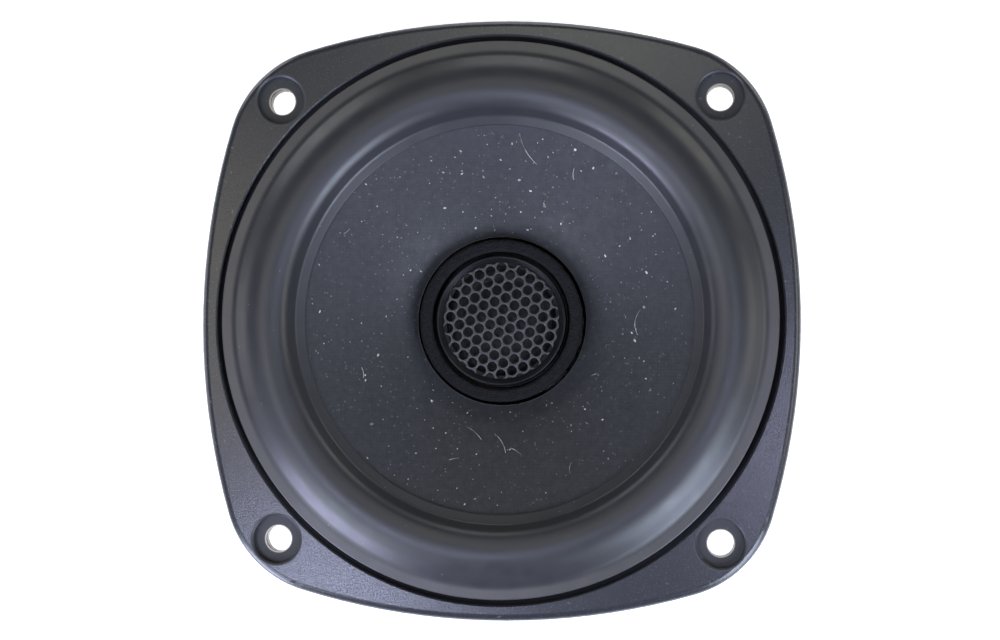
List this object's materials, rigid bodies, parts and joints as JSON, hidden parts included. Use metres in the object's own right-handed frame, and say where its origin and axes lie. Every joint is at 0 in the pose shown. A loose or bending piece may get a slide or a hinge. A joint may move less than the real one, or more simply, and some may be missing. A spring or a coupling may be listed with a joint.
{
  "type": "coaxial car speaker",
  "caption": "Car loudspeaker with a squarish cast flange, rubber surround, dark cone and a grilled tweeter mounted in its middle on a foam ring.",
  "frame": {"origin": "centre of the four screw holes, on the flange's rear (mounting) face", "axes": "+Z out of the front along the cone's axis, towards the listener; +X and +Y along the sides of the square of screw holes"},
  "size_m": [0.1322, 0.1322, 0.0564],
  "materials": {
    "frame_casting": "satin",
    "surround_rubber": "satin",
    "cone_fibre": "matte",
    "coil_former": "satin",
    "copper_wire": "satin",
    "spider_cloth": "matte",
    "plated_steel": "satin",
    "ferrite": "matte",
    "screw_steel": "satin",
    "tweeter_plastic": "satin",
    "spring_steel": "satin",
    "foam": "matte",
    "neodymium": "satin",
    "felt": "matte",
    "dome_cloth": "satin",
    "grille_metal": "satin",
    "lead_black": "satin",
    "lead_red": "satin",
    "board_fibre": "matte",
    "tinned_brass": "satin",
    "tinsel_braid": "satin",
    "capacitor_sleeve": "satin",
    "bare_wire": "satin",
    "sleeve_shrink": "satin",
    "solder_tin": "satin"
  },
  "bodies": {
    "frame": {"basket": "frame_casting", "surround": "surround_rubber", "spider": "spider_cloth", "top_plate": "plated_steel", "magnet_ring": "ferrite", "back_plate_and_pole": "plated_steel", "motor_screws": "screw_steel", "tweeter_housing": "tweeter_plastic", "stem_retainer": "spring_steel", "foam_ring": "foam", "tweeter_pot": "plated_steel", "tweeter_magnet": "neodymium", "tweeter_pole_plate": "plated_steel", "tweeter_felt": "felt", "tweeter_dome_roll": "dome_cloth", "tweeter_bezel": "tweeter_plastic", "tweeter_grille": "grille_metal", "tweeter_lead_positive": "lead_red", "tweeter_lead_negative": "lead_black", "terminal_board": "board_fibre", "terminal_positive": "tinned_brass", "terminal_negative": "tinned_brass", "terminal_rivets": "screw_steel", "tinsel_lead_positive": "tinsel_braid", "tinsel_lead_negative": "tinsel_braid", "crossover_capacitor": "capacitor_sleeve", "capacitor_lead_in": "bare_wire", "capacitor_lead_out": "bare_wire", "lead_sleeve": "sleeve_shrink", "solder_joints": "solder_tin"},
    "cone_assembly": {"cone": "cone_fibre", "voice_coil_former": "coil_former", "voice_coil_winding": "copper_wire"},
    "tweeter_diaphragm": {"tweeter_dome": "dome_cloth", "tweeter_coil_former": "coil_former", "tweeter_coil_winding": "copper_wire"}
  },
  "joints": [
    {"name": "cone_travel", "type": "slide", "parent": "frame", "child": "cone_assembly", "axis": [0, 0, 1], "range_m": [-0.003, 0.003], "stiffness_N_per_m": 1000, "deforming": ["surround", "spider", "tinsel_lead_positive", "tinsel_lead_negative"]},
    {"name": "tweeter_travel", "type": "slide", "parent": "frame", "child": "tweeter_diaphragm", "axis": [0, 0, 1], "range_m": [-0.0003, 0.0003], "stiffness_N_per_m": 100, "deforming": ["tweeter_dome_roll"]}
  ]
}
